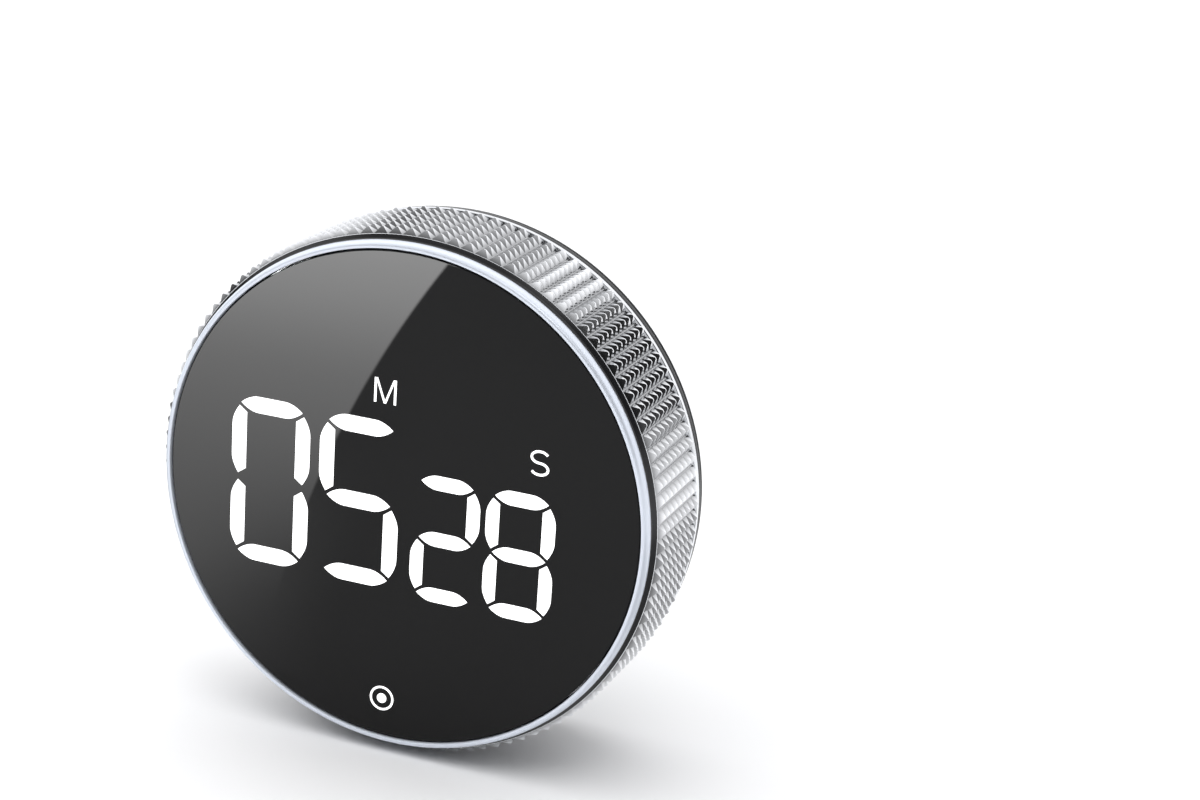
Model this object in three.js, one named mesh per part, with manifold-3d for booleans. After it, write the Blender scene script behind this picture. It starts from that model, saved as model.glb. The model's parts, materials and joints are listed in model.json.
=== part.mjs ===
// Magnetic twist-dial kitchen timer, built in millimetres with +Z up and the display facing -Y.
// The origin is the centre of the flat magnetic back, so the whole timer lies at negative Y.
import * as THREE from 'three';
import { mergeVertices } from 'three/addons/utils/BufferGeometryUtils.js';
import Module from 'manifold-3d';

const wasm = await Module();
wasm.setup();

// Overall size. Depths are given as stations: distances behind the front plane of the bezel.
const DEPTH = 24.6;
const KNURL_TIP_R = 39;
const KNURL_ROOT_R = 38.15;
const KNURL_COLUMNS = 110;
const KNURL_ROWS = 9;
const KNURL_START = 2.4;
const KNURL_PITCH = 5 / 3;
const RING_BORE_R = 36.6;
const RING_END = 18.4;
const RING_STEP = { r: 35.6, from: 4.35 };
const KEYWAY = { count: 3, r: 36.7, width: 3.2, from: 10.85 };

// Lens, carrier and housing
const LENS = { r: 36.3, from: 0.3, to: 1.5 };
const CARRIER = { r: 36.1, from: 1.55, to: 2.25 };
const FLANGE = { r: 36.2, from: 2.75, to: 4.05 };
const WINDOW = { x0: -28.1, x1: 26.1, z0: -15.3, z1: 12.6 };
const DRUM = { r0: 33.9, r1: 35.1, to: 8.2 };
const POSTS = [[-10.5, 27.4], [10.5, 27.4], [-10.5, -27.4], [10.5, -27.4]];
const GUIDE_PINS = [[-24, 20], [24, 20]];
const TACT_Z = -29;

// Electronics
const BOARD = { r: 33, from: 6.6, to: 7.6 };
const DISPLAY = { from: 2.65, to: 6.5 };
const MINUTES = { x0: -27.4, x1: 0.9, z0: -14.7, z1: 12 };
const SECONDS = { x0: 1.5, x1: 25.4, z0: -14.7, z1: 6.1 };
const CHIP = { x: 4, z0: -12, z1: -4, to: 8.7 };
const BUZZER = { r: 4.4, x: 17.8, z: 21.3, from: 17.5, to: 22.6, mouth: 1.1 };
const ENCODER = { x: 4.5, z: 4, to: 10.7 };
const TACT = { half: 3, well: 1.75, plunger: 1.55, tip: 3.32, seat: 5.1 };

// Dial gear train
const MODULE = 0.8;
const RING_TEETH = 84;
const PINION_TEETH = 14;
const GEAR = { from: 11, to: 13.4, r: 35.3 };
const PINION_Z = MODULE * (RING_TEETH - PINION_TEETH) / 2;

// Rear cover, battery bay and door
const PLATE_FROM = 23.1;
const BAY = { x0: -24.6, x1: 23.6, z0: -18.3, z1: 14.9, floor: 11.9, wall: 1 };
const DOOR = { x0: -25.1, x1: 24.1, z0: -18.9, z1: 15.4, from: 22.9 };
const DOOR_GAP = 0.2;
const DOOR_TABS = [-15, 14];
const RELIEF = { x: 18, z0: 12.75, z1: 14.05, r: 0.6 };
const THUMB_NOTCH = { r: 6.8, x: -0.5, z: 14.5, from: 23.6 };
const PAD = { r: 35, chord: 23, corner: 1.2, from: 23.75 };
const PAD_FLOOR = 23.7;
const MAGNET = { r: 5, z: 29.2, from: 21.3, to: 23.6 };
const SLOTS_Z = [18.5, 20.4];
const SOUND_X = 16;
const SWITCH_WINDOW = { x0: 25.2, x1: 31.6, z0: -4.6, z1: 4 };
const KNOB_X = 28.4;
const KNOB_Z = -2.5;
// The knob's sliding cover reaches this far below and above it, to keep the window shut over its travel
const KNOB_COVER = [-6.7, 5.9];

// AAA cells
const CELL = { r: 5.2, length: 44.5, nub_r: 1.9, nub: 0.9 };
const CELL_ROWS = [9.35, -1.7, -12.75];
const CELL_S = 17.2;
const SPRING = { r: 2.6, wire: 0.28, length: 2.1, turns: 3 };

// Cover screws: countersunk room in the cover, cross recess in the head
const SCREW = { head: 2, shank: 0.85, from: 9, seat: 21.5, to: 22.8, cross: 1.2, groove: 0.25 };

const turn = Math.PI * 2;

// Closed mesh with its faces outward, ready for cutting or joining
function solid(geometry) {
  const bare = geometry.clone();
  bare.deleteAttribute('normal');
  bare.deleteAttribute('uv');
  const merged = mergeVertices(bare, 1e-4);
  const triVerts = new Uint32Array(merged.index.array);
  const vertProperties = new Float32Array(merged.attributes.position.array);
  return new wasm.Manifold(new wasm.Mesh({ numProp: 3, vertProperties, triVerts }));
}

function geometryOf(body) {
  const mesh = body.getMesh();
  const geometry = new THREE.BufferGeometry();
  geometry.setAttribute('position', new THREE.BufferAttribute(new Float32Array(mesh.vertProperties), 3));
  geometry.setIndex(new THREE.BufferAttribute(new Uint32Array(mesh.triVerts), 1));
  return geometry;
}

function joined(first, ...others) {
  return others.reduce((sum, body) => sum.add(body), first);
}

function cut(first, ...others) {
  return others.reduce((sum, body) => sum.subtract(body), first);
}

// Turned part about the dial axis, from [radius, station] pairs running anticlockwise round the section
function latheAt(profile, segments) {
  const points = profile.map(([r, s]) => new THREE.Vector2(r, s - DEPTH));
  points.push(points[0].clone());
  return new THREE.LatheGeometry(points, segments);
}

function turned(profile, segments = 64) {
  return solid(latheAt(profile, segments));
}

function annulus(r0, r1, from, to, segments = 64) {
  return turned([[r0, from], [r1, from], [r1, to], [r0, to]], segments);
}

function rod(r, from, to, x = 0, z = 0, segments = 16) {
  const cylinder = new THREE.CylinderGeometry(r, r, to - from, segments);
  return solid(cylinder.translate(x, (from + to) / 2 - DEPTH, z));
}

function block(x0, x1, from, to, z0, z1) {
  const box = new THREE.BoxGeometry(x1 - x0, to - from, z1 - z0);
  return solid(box.translate((x0 + x1) / 2, (from + to) / 2 - DEPTH, (z0 + z1) / 2));
}

// Flat outline in X and Z given a thickness along the dial axis
function slab(shape, from, to, curveSegments = 6) {
  const plate = new THREE.ExtrudeGeometry(shape, { depth: to - from, bevelEnabled: false, curveSegments });
  return solid(plate.rotateX(Math.PI / 2).translate(0, to - DEPTH, 0));
}

function roundedRect(x0, x1, z0, z1, r) {
  const shape = new THREE.Shape();
  shape.moveTo(x0 + r, z0);
  shape.lineTo(x1 - r, z0);
  shape.absarc(x1 - r, z0 + r, r, -Math.PI / 2, 0, false);
  shape.lineTo(x1, z1 - r);
  shape.absarc(x1 - r, z1 - r, r, 0, Math.PI / 2, false);
  shape.lineTo(x0 + r, z1);
  shape.absarc(x0 + r, z1 - r, r, Math.PI / 2, Math.PI, false);
  shape.lineTo(x0, z0 + r);
  shape.absarc(x0 + r, z0 + r, r, Math.PI, Math.PI * 1.5, false);
  return shape;
}

// Circular segment with rounded corners, on the side given by the sign
function segmentShape(r, chord, corner, side) {
  const reach = Math.sqrt((r - corner) ** 2 - (chord + corner) ** 2);
  const turnIn = Math.atan2(chord + corner, reach);
  const shape = new THREE.Shape();
  shape.absarc(reach, chord + corner, corner, -Math.PI / 2, turnIn, false);
  shape.absarc(0, 0, r, turnIn, Math.PI - turnIn, false);
  shape.absarc(-reach, chord + corner, corner, Math.PI - turnIn, Math.PI * 1.5, false);
  const points = shape.getPoints(8).map((p) => new THREE.Vector2(p.x * side, p.y * side));
  return new THREE.Shape(points);
}

function padSlab(grow, from, to, side) {
  return slab(segmentShape(PAD.r + grow, PAD.chord - grow, PAD.corner, side), from, to);
}

// Involute tooth outline: angles at which each flank crosses a radius, measured from the tooth centre
function flankAngle(radius, pitchR, halfThickness) {
  const pressure = Math.PI / 9;
  const involute = (a) => Math.tan(a) - a;
  const base = pitchR * Math.cos(pressure);
  const at = (r) => involute(Math.acos(Math.min(1, base / Math.max(r, base))));
  return halfThickness / pitchR + involute(pressure) - at(radius);
}

function gearOutline(teeth, radii, halfThickness, centreAngle) {
  const pitchR = MODULE * teeth / 2;
  const points = [];
  for (let i = 0; i < teeth; i++) {
    const mid = centreAngle + turn * i / teeth;
    const rising = radii.map((r) => [r, mid - flankAngle(r, pitchR, halfThickness)]);
    const falling = radii.map((r) => [r, mid + flankAngle(r, pitchR, halfThickness)]).reverse();
    for (const [r, a] of [...rising, ...falling]) {
      points.push(new THREE.Vector2(r * Math.cos(a), r * Math.sin(a)));
    }
  }
  return new THREE.Shape(points);
}

// Metal dial ring: polished bezel, knurled band with a pyramid on every cell, plain rear lip
function dialRing() {
  const knurlEnd = KNURL_START + KNURL_ROWS * KNURL_PITCH;
  const profile = [
    [RING_STEP.r, RING_END], [RING_STEP.r, RING_STEP.from], [RING_BORE_R, RING_STEP.from],
    [RING_BORE_R, 0.3], [36.9, 0], [37.4, 0.1], [37.7, 0.7], [37.6, 2],
  ];
  const firstRow = profile.length;
  for (let row = 0; row <= KNURL_ROWS; row++) {
    profile.push([KNURL_ROOT_R, KNURL_START + row * KNURL_PITCH]);
  }
  profile.push([38.9, knurlEnd + 0.15], [38.9, RING_END - 0.2], [38.6, RING_END]);
  const lathe = latheAt(profile, KNURL_COLUMNS);
  const stride = profile.length + 1;
  const position = Array.from(lathe.attributes.position.array);
  const index = [];
  for (let column = 0; column < KNURL_COLUMNS; column++) {
    const angle = turn * (column + 0.5) / KNURL_COLUMNS;
    for (let j = 0; j < stride - 1; j++) {
      const a = j + column * stride;
      const quad = [a, a + stride, a + stride + 1, a + 1];
      const row = j - firstRow;
      if (row < 0 || row >= KNURL_ROWS) {
        index.push(quad[0], quad[1], quad[3], quad[2], quad[3], quad[1]);
      } else {
        const apex = position.length / 3;
        const y = KNURL_START + (row + 0.5) * KNURL_PITCH - DEPTH;
        position.push(KNURL_TIP_R * Math.sin(angle), y, KNURL_TIP_R * Math.cos(angle));
        quad.forEach((corner, k) => index.push(corner, quad[(k + 1) % 4], apex));
      }
    }
  }
  const geometry = new THREE.BufferGeometry();
  geometry.setAttribute('position', new THREE.Float32BufferAttribute(position, 3));
  geometry.setAttribute('normal', new THREE.Float32BufferAttribute(new Float32Array(position.length), 3));
  geometry.setAttribute('uv', new THREE.Float32BufferAttribute(new Float32Array(position.length / 3 * 2), 2));
  geometry.setIndex(index);
  return cut(solid(geometry), ...keys(KEYWAY.width, 34, KEYWAY.r, KEYWAY.from, RING_END + 1));
}

// Radial blocks spaced evenly round the axis, for the keyways and the keys that fit them
function keys(width, r0, r1, from, to) {
  return Array.from({ length: KEYWAY.count }, (_, i) => {
    const box = new THREE.BoxGeometry(r1 - r0, to - from, width);
    box.translate((r0 + r1) / 2, (from + to) / 2 - DEPTH, 0);
    return solid(box.rotateY(turn * (i / KEYWAY.count + 1 / 12)));
  });
}

// Internally toothed gear keyed into the dial ring; a tooth space faces the pinion at rest
function ringGear() {
  const band = rod(GEAR.r, GEAR.from, GEAR.to, 0, 0, 55);
  const lugs = keys(KEYWAY.width - 0.4, 34.8, KEYWAY.r - 0.2, GEAR.from, GEAR.to);
  const halfSpace = Math.PI * MODULE / 4 + 0.08;
  const spaces = gearOutline(RING_TEETH, [33, 34.45], halfSpace, Math.PI / 2);
  return cut(joined(band, ...lugs), slab(spaces, GEAR.from - 1, GEAR.to + 1));
}

// Encoder gear with the spindle that enters the encoder
function pinion() {
  const outline = gearOutline(PINION_TEETH, [4.75, 5.45, 6.2], Math.PI * MODULE / 4 - 0.08, Math.PI / 2);
  const wheel = solid(new THREE.ExtrudeGeometry(outline, { depth: 2.2, bevelEnabled: false })
    .rotateX(Math.PI / 2).translate(0, 13.3 - DEPTH, PINION_Z));
  return joined(wheel, rod(1.5, 8.9, 11.2, 0, PINION_Z, 24));
}

function frontHousing() {
  const flange = rod(FLANGE.r, FLANGE.from, FLANGE.to, 0, 0, 64);
  const drum = annulus(DRUM.r0, DRUM.r1, FLANGE.to - 0.3, DRUM.to);
  const posts = POSTS.map(([x, z]) => rod(2.3, FLANGE.to - 0.3, 13.9, x, z));
  const pilots = POSTS.map(([x, z]) => rod(1, 8.4, 15, x, z, 12));
  const window = block(WINDOW.x0, WINDOW.x1, 2, 5, WINDOW.z0, WINDOW.z1);
  const pinHoles = GUIDE_PINS.map(([x, z]) => rod(1.3, 2, 5, x, z, 16));
  const tactHole = rod(2.1, 2, 5, 0, TACT_Z, 20);
  return cut(joined(flange, drum, ...posts), window, tactHole, ...pinHoles, ...pilots);
}

// Frame behind the lens: carries the display window, the guide pins and the finger that works the switch
function lensCarrier() {
  const disc = rod(CARRIER.r, CARRIER.from, CARRIER.to, 0, 0, 64);
  const window = block(WINDOW.x0, WINDOW.x1, 1, 3, WINDOW.z0, WINDOW.z1);
  const pins = GUIDE_PINS.map(([x, z]) => rod(1, CARRIER.to - 0.2, 5.2, x, z, 16));
  return joined(cut(disc, window), rod(1.5, CARRIER.to - 0.2, 3.25, 0, TACT_Z), ...pins);
}

function mainBoard() {
  const holes = POSTS.map(([x, z]) => rod(2.55, 6, 8, x, z));
  return cut(rod(BOARD.r, BOARD.from, BOARD.to, 0, 0, 48), ...holes);
}

function rearCover() {
  const shell = turned([
    [30, PLATE_FROM], [34, PLATE_FROM], [34, 14], [35.2, 14], [35.2, 18.75], [38.4, 18.75], [38.4, 19.6],
    [37.4, 19.7], [37.4, 20.3], [38.3, 20.4], [37.1, 24], [36.5, DEPTH], [30, DEPTH],
  ], 72);
  const plate = rod(31, PLATE_FROM, DEPTH, 0, 0, 72);
  const w = BAY.wall;
  const bay = block(BAY.x0 - w, BAY.x1 + w, BAY.floor - w, PLATE_FROM + 0.1, BAY.z0 - w, BAY.z1 + w);
  const bosses = POSTS.map(([x, z]) => rod(2.7, 14.15, PLATE_FROM + 0.1, x, z));
  const cups = [1, -1].map((side) => rod(6, 20.4, PLATE_FROM + 0.1, 0, side * MAGNET.z, 28));
  const bayHollow = block(BAY.x0, BAY.x1, BAY.floor, DEPTH + 1, BAY.z0, BAY.z1);
  const doorRecess = block(
    DOOR.x0 - DOOR_GAP, DOOR.x1 + DOOR_GAP, DOOR.from - 0.05, DEPTH + 1, DOOR.z0 - DOOR_GAP, DOOR.z1 + DOOR_GAP,
  );
  const tabPockets = DOOR_TABS.map((x) => block(x - 2.9, x + 2.9, 21.5, 23.1, -20.4, BAY.z0 + 0.1));
  const padRecesses = [1, -1].map((side) => padSlab(0.12, PAD_FLOOR, DEPTH + 1, side));
  const pockets = [1, -1].map((side) => rod(MAGNET.r + 0.15, MAGNET.from - 0.1, DEPTH, 0, side * MAGNET.z, 28));
  const counterbores = POSTS.map(([x, z]) => rod(2.25, 21.4, DEPTH, x, z));
  const clearances = POSTS.map(([x, z]) => rod(1.1, 13, DEPTH, x, z, 12));
  const moon = rod(THUMB_NOTCH.r, THUMB_NOTCH.from, DEPTH + 1, THUMB_NOTCH.x, THUMB_NOTCH.z, 32);
  const moonKeep = block(-8, 8, 23, DEPTH + 2, 0, DOOR.z1);
  const slots = SLOTS_Z.map((z) => {
    const outline = roundedRect(SOUND_X - 2.35, SOUND_X + 2.35, z - 0.45, z + 0.45, 0.2);
    return slab(outline, 22, DEPTH + 1, 2);
  });
  const { x0, x1, z0, z1 } = SWITCH_WINDOW;
  const switchHole = block(x0, x1, 22, DEPTH + 1, z0, z1);
  return cut(
    joined(shell, plate, bay, ...bosses, ...cups),
    bayHollow, doorRecess, cut(moon, moonKeep), switchHole, ...tabPockets, ...padRecesses, ...pockets,
    ...counterbores, ...clearances, ...slots,
  );
}

// Lift-off door with its relief slot and the two tabs it pivots on
function batteryDoor() {
  const panel = slab(roundedRect(DOOR.x0, DOOR.x1, DOOR.z0, DOOR.z1, 0.4), DOOR.from, DEPTH, 2);
  const outline = roundedRect(-RELIEF.x, RELIEF.x, RELIEF.z0, RELIEF.z1, RELIEF.r);
  const relief = slab(outline, DOOR.from - 1, DEPTH + 1, 4);
  const tabs = DOOR_TABS.flatMap((x) => [
    block(x - 2.5, x + 2.5, 22.05, 22.75, -19.9, -17.2),
    block(x - 2.5, x + 2.5, 22.05, DOOR.from + 0.1, -18, -17.2),
  ]);
  return joined(cut(panel, relief), ...tabs);
}

// Cell lying along X, its raised contact toward the given side
function cell(z, side) {
  const half = CELL.length / 2;
  const points = [
    [0, -half], [CELL.r - 0.5, -half], [CELL.r, -half + 0.4], [CELL.r, half - CELL.nub - 0.4],
    [CELL.r - 0.5, half - CELL.nub], [CELL.nub_r, half - CELL.nub], [CELL.nub_r - 0.2, half], [0, half],
  ].map(([r, a]) => new THREE.Vector2(r, a));
  const lathe = new THREE.LatheGeometry(points, 20).rotateZ(-side * Math.PI / 2);
  const centre = side > 0 ? BAY.x1 - 0.6 - half : BAY.x0 + 0.6 + half;
  return solid(lathe.translate(centre, CELL_S - DEPTH, z));
}

class Helix extends THREE.Curve {
  constructor(r, length, turns) {
    super();
    Object.assign(this, { r, length, turns });
  }

  getPoint(t) {
    const a = turn * this.turns * t;
    return new THREE.Vector3(this.length * t, this.r * Math.cos(a), this.r * Math.sin(a));
  }
}

// Wire coil that presses on a cell's flat end
function cellSpring(z, side) {
  const wire = new THREE.Shape();
  wire.absarc(0, 0, SPRING.wire, 0, turn, false);
  const extrudePath = new Helix(SPRING.r, SPRING.length, SPRING.turns);
  const steps = 9 * SPRING.turns;
  const sweep = { steps, curveSegments: 3, extrudePath, bevelEnabled: false };
  const coil = new THREE.ExtrudeGeometry(wire, sweep);
  const start = side > 0 ? BAY.x0 + 0.38 : BAY.x1 - 2.48;
  return solid(coil.translate(start, CELL_S - DEPTH, z));
}

function cellContact(z, side) {
  const x0 = side > 0 ? BAY.x1 - 0.5 : BAY.x0 + 0.1;
  return block(x0, x0 + 0.4, CELL_S - 3.6, CELL_S + 3.6, z - 3.8, z + 3.8);
}

function screw([x, z]) {
  const head = rod(SCREW.head, SCREW.seat, SCREW.to, x, z);
  const shank = rod(SCREW.shank, SCREW.from, SCREW.seat + 0.1, x, z, 12);
  const { cross, groove } = SCREW;
  const grooves = [[cross, groove], [groove, cross]].map(([w, h]) => (
    block(x - w, x + w, SCREW.to - 0.6, SCREW.to + 0.2, z - h, z + h)
  ));
  return cut(joined(head, shank), ...grooves);
}

function buzzer() {
  const { r, x, z, from, to, mouth } = BUZZER;
  return cut(rod(r, from, to, x, z, 28), rod(mouth, to - 0.6, to + 0.4, x, z, 12));
}

function switchBody() {
  const groove = block(KNOB_X - 1, KNOB_X + 1, 9.9, 12, KNOB_Z - 1.4, KNOB_Z + 5.4);
  return cut(block(KNOB_X - 3, KNOB_X + 3, BOARD.to + 0.05, 11.4, -6, 6), groove);
}

function volumeKnob() {
  const [below, above] = KNOB_COVER;
  const skirt = block(KNOB_X - 2.5, KNOB_X + 2.5, 22, 22.85, KNOB_Z + below, KNOB_Z + above);
  const grip = block(KNOB_X - 2.7, KNOB_X + 2.7, 22.5, 24.3, KNOB_Z - 1.3, KNOB_Z + 1.3);
  const stem = block(KNOB_X - 1, KNOB_X + 1, 12.2, 22.2, KNOB_Z - 1, KNOB_Z + 1);
  return joined(skirt, grip, stem);
}

const finishes = {
  chrome: { color: 0xd9dde2, roughness: 0.18, metalness: 1 },
  smoked: { color: 0x16171a, roughness: 0.05, metalness: 0 },
  black: { color: 0x2b2c2e, roughness: 0.5, metalness: 0 },
  grey: { color: 0x4b4c4e, roughness: 0.55, metalness: 0 },
  pad: { color: 0x57575a, roughness: 0.7, metalness: 0 },
  pale: { color: 0xe8e6df, roughness: 0.45, metalness: 0 },
  board: { color: 0x1f6b3c, roughness: 0.5, metalness: 0 },
  steel: { color: 0xa9abb0, roughness: 0.3, metalness: 1 },
  wrapper: { color: 0x26282c, roughness: 0.35, metalness: 0 },
};

const group = new THREE.Group();
group.name = 'kitchen_timer';

function add(name, finish, body) {
  const mesh = new THREE.Mesh(geometryOf(body), new THREE.MeshStandardMaterial(finishes[finish]));
  mesh.name = name;
  group.add(mesh);
}

add('dial_ring', 'chrome', dialRing());
add('ring_gear', 'pale', ringGear());
add('encoder_pinion', 'pale', pinion());
add('front_lens', 'smoked', turned([
  [30, LENS.from], [LENS.r - 0.3, LENS.from], [LENS.r, LENS.from + 0.3], [LENS.r, LENS.to], [30, LENS.to],
], 72).add(rod(31, LENS.from, LENS.to, 0, 0, 72)));
add('lens_carrier', 'black', lensCarrier());
add('front_housing', 'black', frontHousing());
add('main_board', 'board', mainBoard());
[['minutes', MINUTES], ['seconds', SECONDS]].forEach(([unit, { x0, x1, z0, z1 }]) => {
  add(`${unit}_display`, 'black', block(x0, x1, DISPLAY.from, DISPLAY.to, z0, z1));
});
add('controller_chip', 'black', block(-CHIP.x, CHIP.x, BOARD.to + 0.05, CHIP.to, CHIP.z0, CHIP.z1));
add('tact_switch_body', 'black', cut(
  block(-TACT.half, TACT.half, 4.35, BOARD.from - 0.05, TACT_Z - TACT.half, TACT_Z + TACT.half),
  rod(TACT.well, 4, 5.7, 0, TACT_Z),
));
add('tact_plunger', 'pale', rod(TACT.plunger, TACT.tip, TACT.seat, 0, TACT_Z));
add('encoder_body', 'black', cut(
  block(-ENCODER.x, ENCODER.x, BOARD.to + 0.05, ENCODER.to, PINION_Z - ENCODER.z, PINION_Z + ENCODER.z),
  rod(1.6, 8.6, 12, 0, PINION_Z, 24),
));
add('volume_switch_body', 'steel', switchBody());
add('volume_switch_slider', 'black', block(KNOB_X - 0.8, KNOB_X + 0.8, 10.1, 12.1, KNOB_Z - 0.8, KNOB_Z + 0.8));
add('volume_knob', 'grey', volumeKnob());
add('buzzer', 'black', buzzer());
add('glide_ring', 'black', annulus(35.6, 38.2, 18.48, 18.7, 60));
add('rear_cover', 'grey', rearCover());
add('battery_door', 'grey', batteryDoor());
CELL_ROWS.forEach((z, i) => {
  const side = i === 1 ? -1 : 1;
  add(`battery_${i + 1}`, 'wrapper', cell(z, side));
  add(`battery_spring_${i + 1}`, 'steel', cellSpring(z, side));
  add(`battery_contact_${i + 1}`, 'steel', cellContact(z, side));
});
[['top', 1], ['bottom', -1]].forEach(([place, side]) => {
  add(`magnet_${place}`, 'steel', rod(MAGNET.r, MAGNET.from, MAGNET.to, 0, side * MAGNET.z, 28));
  add(`magnet_pad_${place}`, 'pad', padSlab(0, PAD.from, DEPTH, side));
});
POSTS.forEach((place, i) => add(`cover_screw_${i + 1}`, 'steel', screw(place)));

export default group;
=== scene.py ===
import json
import math

import bmesh
import bpy
from mathutils import Matrix, Vector
from mathutils.geometry import tessellate_polygon


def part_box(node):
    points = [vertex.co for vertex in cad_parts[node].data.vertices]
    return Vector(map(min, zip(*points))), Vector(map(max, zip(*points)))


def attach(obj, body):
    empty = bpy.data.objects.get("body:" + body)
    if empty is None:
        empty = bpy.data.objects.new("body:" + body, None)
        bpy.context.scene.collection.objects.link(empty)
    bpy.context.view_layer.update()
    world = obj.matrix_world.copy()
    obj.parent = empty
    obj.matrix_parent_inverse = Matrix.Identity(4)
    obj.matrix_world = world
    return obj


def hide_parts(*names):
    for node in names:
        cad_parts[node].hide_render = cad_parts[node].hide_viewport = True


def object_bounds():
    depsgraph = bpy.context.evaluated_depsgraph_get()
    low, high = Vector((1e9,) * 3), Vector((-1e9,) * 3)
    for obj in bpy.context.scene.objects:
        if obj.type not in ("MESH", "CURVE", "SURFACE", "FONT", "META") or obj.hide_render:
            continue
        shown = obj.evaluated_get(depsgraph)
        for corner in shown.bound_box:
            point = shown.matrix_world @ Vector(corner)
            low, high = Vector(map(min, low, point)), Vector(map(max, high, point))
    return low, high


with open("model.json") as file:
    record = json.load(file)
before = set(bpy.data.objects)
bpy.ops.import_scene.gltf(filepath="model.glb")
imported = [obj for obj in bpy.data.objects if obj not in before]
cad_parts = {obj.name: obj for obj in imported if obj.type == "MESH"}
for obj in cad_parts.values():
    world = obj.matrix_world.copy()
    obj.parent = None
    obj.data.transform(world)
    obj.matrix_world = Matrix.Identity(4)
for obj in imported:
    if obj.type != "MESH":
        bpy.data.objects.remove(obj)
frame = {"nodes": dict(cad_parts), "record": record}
cad_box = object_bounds()

MM = 0.001
TAU = math.tau
# Depth of the timer in mm. Stations are distances in mm behind its front plane, as in the CAD.
DEPTH = (cad_box[1][1] - cad_box[0][1]) / MM
FLOOR_Z = cad_box[0][2]


# ---------------------------------------------------------------- materials

# Noise detail of the colour drift, the uneven gloss and the grain, and how much finer gloss is than drift
DRIFT_DETAIL, GLOSS_DETAIL, GRAIN_DETAIL, GLOSS_SCALE = 3, 4, 2, 6
# Where in the noise a colour drift starts and ends
DRIFT_START, DRIFT_END = 0.3, 0.7


def nodes_of(name):
    """A new material with its node tree and its shader."""
    material = bpy.data.materials.new(name)
    material.use_nodes = True
    tree = material.node_tree
    return material, tree, tree.nodes["Principled BSDF"]


def noise(tree, scale, detail):
    coords = tree.nodes.new("ShaderNodeTexCoord")
    texture = tree.nodes.new("ShaderNodeTexNoise")
    texture.inputs["Scale"].default_value = scale
    texture.inputs["Detail"].default_value = detail
    tree.links.new(coords.outputs["Object"], texture.inputs["Vector"])
    return texture.outputs["Fac"]


def ramp(tree, source, low, high):
    node = tree.nodes.new("ShaderNodeValToRGB")
    first, last = node.color_ramp.elements
    first.position = DRIFT_START
    last.position = DRIFT_END
    first.color = (*low, 1)
    last.color = (*high, 1)
    tree.links.new(source, node.inputs["Fac"])
    return node.outputs["Color"]


def spread(tree, source, low, high):
    node = tree.nodes.new("ShaderNodeMapRange")
    node.inputs["To Min"].default_value = low
    node.inputs["To Max"].default_value = high
    tree.links.new(source, node.inputs["Value"])
    return node.outputs["Result"]


def finish(name, colour, vary, rough, patch, grain=None, metal=0.0, specular=0.5):
    """A moulded or plated surface: slow colour drift, uneven gloss and a fine surface grain.

    The colour drifts by the share vary either way, in patches of the scale patch. The roughness stays in
    the range rough. A grain has a scale, a strength and a height in metres.
    """
    material, tree, shader = nodes_of(name)
    low = tuple(c * (1 - vary) for c in colour)
    high = tuple(min(1, c * (1 + vary)) for c in colour)
    drift = noise(tree, patch, DRIFT_DETAIL)
    tree.links.new(ramp(tree, drift, low, high), shader.inputs["Base Color"])
    gloss = noise(tree, patch * GLOSS_SCALE, GLOSS_DETAIL)
    tree.links.new(spread(tree, gloss, *rough), shader.inputs["Roughness"])
    shader.inputs["Metallic"].default_value = metal
    shader.inputs["Specular IOR Level"].default_value = specular
    if grain:
        scale, strength, height = grain
        bump = tree.nodes.new("ShaderNodeBump")
        bump.inputs["Strength"].default_value = strength
        bump.inputs["Distance"].default_value = height
        tree.links.new(noise(tree, scale, GRAIN_DETAIL), bump.inputs["Height"])
        tree.links.new(bump.outputs["Normal"], shader.inputs["Normal"])
    return material


def glowing(name, colour, strength):
    """Lit print: even light, with a faint drift in brightness."""
    material, tree, shader = nodes_of(name)
    glow = ramp(tree, noise(tree, 900, 1), tuple(c * 0.97 for c in colour), colour)
    tree.links.new(glow, shader.inputs["Emission Color"])
    shader.inputs["Emission Strength"].default_value = strength
    shader.inputs["Base Color"].default_value = (*colour, 1)
    shader.inputs["Roughness"].default_value = 0.4
    return material


# Metals
chrome = finish("polished_metal", (0.86, 0.875, 0.9), vary=0.03, rough=(0.10, 0.16), patch=40,
                grain=(6000, 0.08, 0.00001), metal=1.0)
bezel_chrome = finish("bezel_metal", (0.78, 0.83, 0.92), vary=0.02, rough=(0.28, 0.34), patch=30,
                      grain=(5000, 0.05, 0.00001), metal=0.4)
knurl_chrome = finish("knurled_metal", (0.90, 0.91, 0.93), vary=0.02, rough=(0.08, 0.13), patch=40,
                      grain=(6000, 0.06, 0.00001), metal=1.0)
steel = finish("plated_steel", (0.62, 0.63, 0.65), vary=0.06, rough=(0.22, 0.34), patch=90,
               grain=(2500, 0.15, 0.00002), metal=1.0)

# Plastics of the front, the back and the inside
lens_black = finish("smoked_lens", (0.0085, 0.0085, 0.0087), vary=0.1, rough=(0.015, 0.03), patch=30,
                    grain=(40, 0.02, 0.00001), specular=0.16)
gloss_black = finish("gloss_black", (0.012, 0.012, 0.013), vary=0.1, rough=(0.14, 0.22), patch=60,
                     grain=(3000, 0.05, 0.00002))
matt_black = finish("matt_black", (0.014, 0.014, 0.015), vary=0.15, rough=(0.5, 0.65), patch=60,
                    grain=(3000, 0.3, 0.00003))
cover_grey = finish("cover_plastic", (0.043, 0.045, 0.0455), vary=0.07, rough=(0.34, 0.44), patch=70,
                    grain=(4200, 0.25, 0.00002), specular=0.45)
door_grey = finish("door_plastic", (0.041, 0.043, 0.0435), vary=0.07, rough=(0.36, 0.46), patch=55,
                   grain=(4200, 0.25, 0.00002), specular=0.45)
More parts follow.
